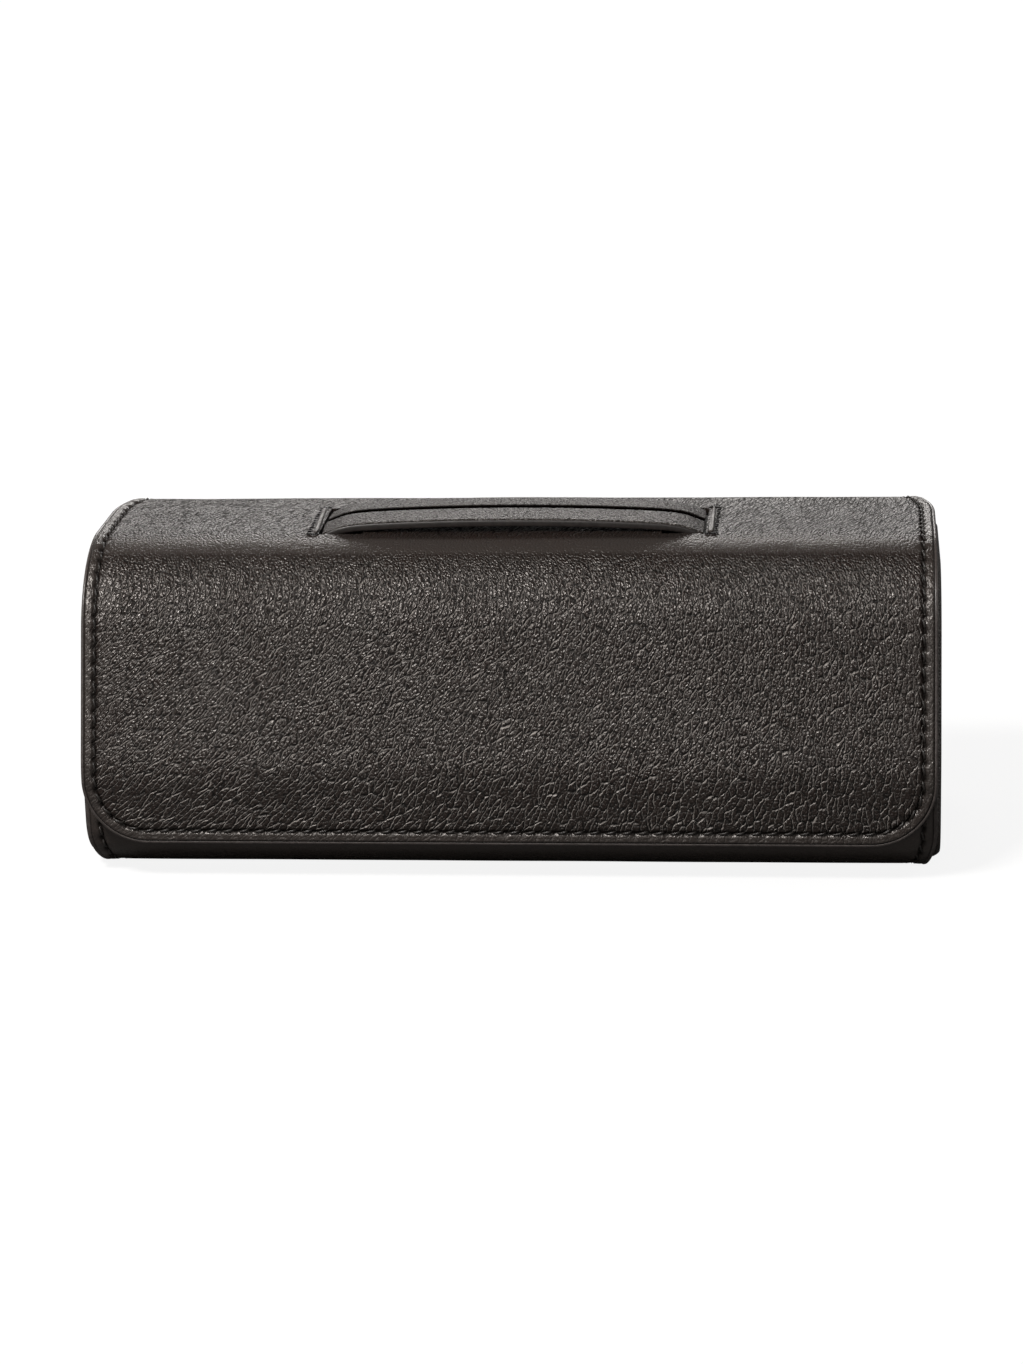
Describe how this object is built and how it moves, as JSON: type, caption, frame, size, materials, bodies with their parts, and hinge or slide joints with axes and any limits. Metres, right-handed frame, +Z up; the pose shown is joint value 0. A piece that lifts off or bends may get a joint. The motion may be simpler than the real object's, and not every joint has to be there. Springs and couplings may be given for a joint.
{
  "type": "perfume case",
  "caption": "Loaf-shaped leather travel case with a wrap-over lid and flap, a low strap handle in welted slots, and padded wells for perfume bottles.",
  "frame": {"origin": "under the middle of the case, on the surface that it stands on", "axes": "+X along the case to the right, +Y from the front to the back, +Z up"},
  "size_m": [0.22, 0.082, 0.0869],
  "materials": {
    "grained_leather": "pebbled, satin",
    "suede": "napped, matt",
    "fibreboard": "matt",
    "webbing": "woven, matt",
    "nickel": "plated"
  },
  "bodies": {
    "case_body": {"body_leather": "grained_leather", "front_board": "fibreboard", "base_board": "fibreboard", "back_board": "fibreboard", "body_lining": "suede", "left_front_magnet": "nickel", "right_front_magnet": "nickel", "left_end_panel": "grained_leather", "right_end_panel": "grained_leather", "left_end_board": "fibreboard", "right_end_board": "fibreboard", "left_end_lining": "suede", "right_end_lining": "suede", "divider_1": "suede", "divider_2": "suede", "base_pad_1": "suede", "base_pad_2": "suede", "base_pad_3": "suede"},
    "lid": {"lid_leather": "grained_leather", "lid_board": "fibreboard", "lid_lining": "suede", "left_slot_welt": "grained_leather", "right_slot_welt": "grained_leather"},
    "flap": {"flap_leather": "grained_leather", "flap_board": "fibreboard", "flap_lining": "suede", "left_flap_magnet": "nickel", "right_flap_magnet": "nickel"},
    "handle": {"handle_cover": "grained_leather", "handle_core": "webbing"},
    "left_anchor": {"left_anchor_tab": "nickel"},
    "right_anchor": {"right_anchor_tab": "nickel"}
  },
  "joints": [
    {"name": "lid_hinge", "type": "hinge", "parent": "case_body", "child": "lid", "pos_m": [0, 0.041, 0.06685], "axis": [-1, 0, 0], "range_deg": [0, 160]},
    {"name": "flap_fold", "type": "hinge", "parent": "lid", "child": "flap", "pos_m": [0, -0.02057, 0.0777], "axis": [-1, 0, 0], "range_deg": [0, 75]},
    {"name": "handle_lift", "type": "slide", "parent": "lid", "child": "handle", "axis": [0, 0, 1], "range_m": [0, 0.018], "deforming": ["handle_cover", "handle_core"]},
    {"name": "left_anchor_slide", "type": "slide", "parent": "lid", "child": "left_anchor", "axis": [1, 0, 0], "range_m": [0, 0.006]},
    {"name": "right_anchor_slide", "type": "slide", "parent": "lid", "child": "right_anchor", "axis": [-1, 0, 0], "range_m": [0, 0.006]}
  ],
  "couplings": [
    {"joint": "left_anchor_slide", "follows": "handle_lift", "ratio": 0.33333},
    {"joint": "right_anchor_slide", "follows": "handle_lift", "ratio": 0.33333}
  ]
}
